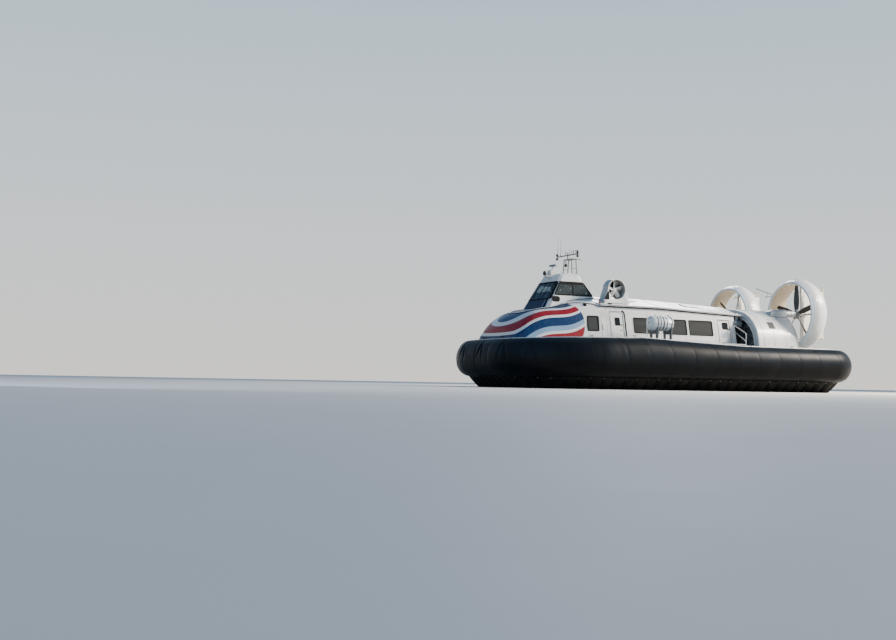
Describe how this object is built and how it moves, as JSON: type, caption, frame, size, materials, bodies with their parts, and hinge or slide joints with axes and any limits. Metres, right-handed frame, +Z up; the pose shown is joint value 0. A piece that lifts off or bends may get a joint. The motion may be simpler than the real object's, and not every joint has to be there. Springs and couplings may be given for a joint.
{
  "type": "passenger hovercraft",
  "caption": "Twin-propeller passenger hovercraft on an inflated skirt: domed nose, raised wheelhouse, long windowed cabin, ducted propellers with rudders and roof bow thrusters.",
  "frame": {"origin": "middle of the craft's length and beam, on the floor that the skirt hem touches", "axes": "+X towards the bow, +Y to port, +Z up"},
  "size_m": [22.4, 12.8, 8.83],
  "materials": {
    "white_paint": "satin marine paint, faintly weathered",
    "livery": null,
    "deck_paint": "non-slip grey deck paint",
    "skirt_rubber": "proofed black skirt fabric, slightly dusty",
    "finger_rubber": "worn matt black skirt fabric",
    "dark_glass": "grey tinted glass",
    "grey_metal": "brushed grey",
    "black_metal": "satin black",
    "canister_shell": "moulded white glass fibre",
    "seat_fabric": "dark blue woven cloth",
    "engine_cast": "painted casting"
  },
  "bodies": {
    "hull": {"hull_raft": "deck_paint", "gunwale": "white_paint", "skirt_bag": "skirt_rubber", "skirt_fingers": "finger_rubber", "cabin_side_port": "white_paint", "cabin_side_starboard": "white_paint", "cabin_glass_port": "dark_glass", "cabin_glass_starboard": "dark_glass", "cabin_rear_wall": "white_paint", "nose_shell": "livery", "nose_window_port": "dark_glass", "nose_window_starboard": "dark_glass", "cabin_roof": "white_paint", "wheelhouse_shell": "white_paint", "windscreen": "dark_glass", "wheelhouse_rear_glass": "dark_glass", "wheelhouse_side_glass_port": "dark_glass", "wheelhouse_side_glass_starboard": "dark_glass", "wheelhouse_roof": "white_paint", "wheelhouse_floor": "deck_paint", "helm_console": "black_metal", "crew_seats": "seat_fabric", "passenger_seats_port": "seat_fabric", "passenger_seats_starboard": "seat_fabric", "mast": "white_paint", "radar_pedestal": "white_paint", "thruster_housing_port": "white_paint", "thruster_housing_starboard": "white_paint", "raft_canister_port": "canister_shell", "raft_canister_starboard": "canister_shell", "raft_cradle_port": "black_metal", "raft_cradle_starboard": "black_metal", "machinery_casing": "white_paint", "engine_port": "engine_cast", "engine_starboard": "engine_cast", "duct_port": "white_paint", "duct_starboard": "white_paint", "shaft_fairing_port": "grey_metal", "shaft_fairing_starboard": "grey_metal", "handrail_port": "white_paint", "handrail_starboard": "white_paint"},
    "propeller_port": {"propeller_port": "black_metal"},
    "propeller_starboard": {"propeller_starboard": "black_metal"},
    "rudder_inner_port": {"rudder_inner_port": "white_paint"},
    "rudder_outer_port": {"rudder_outer_port": "white_paint"},
    "rudder_inner_starboard": {"rudder_inner_starboard": "white_paint"},
    "rudder_outer_starboard": {"rudder_outer_starboard": "white_paint"},
    "thruster_fan_port": {"thruster_fan_port": "grey_metal"},
    "thruster_fan_starboard": {"thruster_fan_starboard": "grey_metal"},
    "lift_fan_port": {"lift_fan_port": "grey_metal"},
    "lift_fan_starboard": {"lift_fan_starboard": "grey_metal"},
    "radar_scanner": {"radar_scanner": "white_paint"},
    "searchlight": {"searchlight": "black_metal"},
    "front_door_port": {"front_door_port": "white_paint"},
    "front_door_starboard": {"front_door_starboard": "white_paint"},
    "aft_door_port": {"aft_door_port": "white_paint"},
    "aft_door_starboard": {"aft_door_starboard": "white_paint"}
  },
  "joints": [
    {"name": "propeller_port_spin", "type": "hinge", "parent": "hull", "child": "propeller_port", "pos_m": [-8.9, 2.915, 4.68], "axis": [1, 0, 0], "continuous": true},
    {"name": "propeller_starboard_spin", "type": "hinge", "parent": "hull", "child": "propeller_starboard", "pos_m": [-8.9, -2.915, 4.68], "axis": [1, 0, 0], "continuous": true},
    {"name": "rudder_inner_port_turn", "type": "hinge", "parent": "hull", "child": "rudder_inner_port", "pos_m": [-9.84, 2.355, 4.68], "axis": [0, 0, 1], "range_deg": [-30, 30]},
    {"name": "rudder_outer_port_turn", "type": "hinge", "parent": "hull", "child": "rudder_outer_port", "pos_m": [-9.84, 3.475, 4.68], "axis": [0, 0, 1], "range_deg": [-30, 30]},
    {"name": "rudder_inner_starboard_turn", "type": "hinge", "parent": "hull", "child": "rudder_inner_starboard", "pos_m": [-9.84, -2.355, 4.68], "axis": [0, 0, 1], "range_deg": [-30, 30]},
    {"name": "rudder_outer_starboard_turn", "type": "hinge", "parent": "hull", "child": "rudder_outer_starboard", "pos_m": [-9.84, -3.475, 4.68], "axis": [0, 0, 1], "range_deg": [-30, 30]},
    {"name": "thruster_fan_port_spin", "type": "hinge", "parent": "hull", "child": "thruster_fan_port", "pos_m": [3.59, 2.1, 5.61], "axis": [0, 1, 0], "continuous": true},
    {"name": "thruster_fan_starboard_spin", "type": "hinge", "parent": "hull", "child": "thruster_fan_starboard", "pos_m": [3.59, -2.1, 5.61], "axis": [0, 1, 0], "continuous": true},
    {"name": "lift_fan_port_spin", "type": "hinge", "parent": "hull", "child": "lift_fan_port", "pos_m": [-5.45, 2.85, 3.3], "axis": [1, 0, 0], "continuous": true},
    {"name": "lift_fan_starboard_spin", "type": "hinge", "parent": "hull", "child": "lift_fan_starboard", "pos_m": [-5.45, -2.85, 3.3], "axis": [1, 0, 0], "continuous": true},
    {"name": "radar_spin", "type": "hinge", "parent": "hull", "child": "radar_scanner", "pos_m": [6.37, 0, 6.96], "axis": [0, 0, 1], "continuous": true},
    {"name": "searchlight_pan", "type": "hinge", "parent": "hull", "child": "searchlight", "pos_m": [6.85, 0, 6.52], "axis": [0, 0, 1], "range_deg": [-90, 90]},
    {"name": "front_door_port_swing", "type": "hinge", "parent": "hull", "child": "front_door_port", "pos_m": [4.305, 2.85273, 3.4], "axis": [0, 0.2011, -0.9796], "range_deg": [0, 100]},
    {"name": "front_door_starboard_swing", "type": "hinge", "parent": "hull", "child": "front_door_starboard", "pos_m": [4.305, -2.85273, 3.4], "axis": [0, 0.2011, 0.9796], "range_deg": [0, 100]},
    {"name": "aft_door_port_swing", "type": "hinge", "parent": "hull", "child": "aft_door_port", "pos_m": [-3.135, 2.85273, 3.4], "axis": [0, 0.2011, -0.9796], "range_deg": [0, 100]},
    {"name": "aft_door_starboard_swing", "type": "hinge", "parent": "hull", "child": "aft_door_starboard", "pos_m": [-3.135, -2.85273, 3.4], "axis": [0, 0.2011, 0.9796], "range_deg": [0, 100]}
  ],
  "couplings": [
    {"joint": "rudder_outer_port_turn", "follows": "rudder_inner_port_turn", "ratio": 1},
    {"joint": "rudder_inner_starboard_turn", "follows": "rudder_inner_port_turn", "ratio": 1},
    {"joint": "rudder_outer_starboard_turn", "follows": "rudder_inner_port_turn", "ratio": 1}
  ]
}
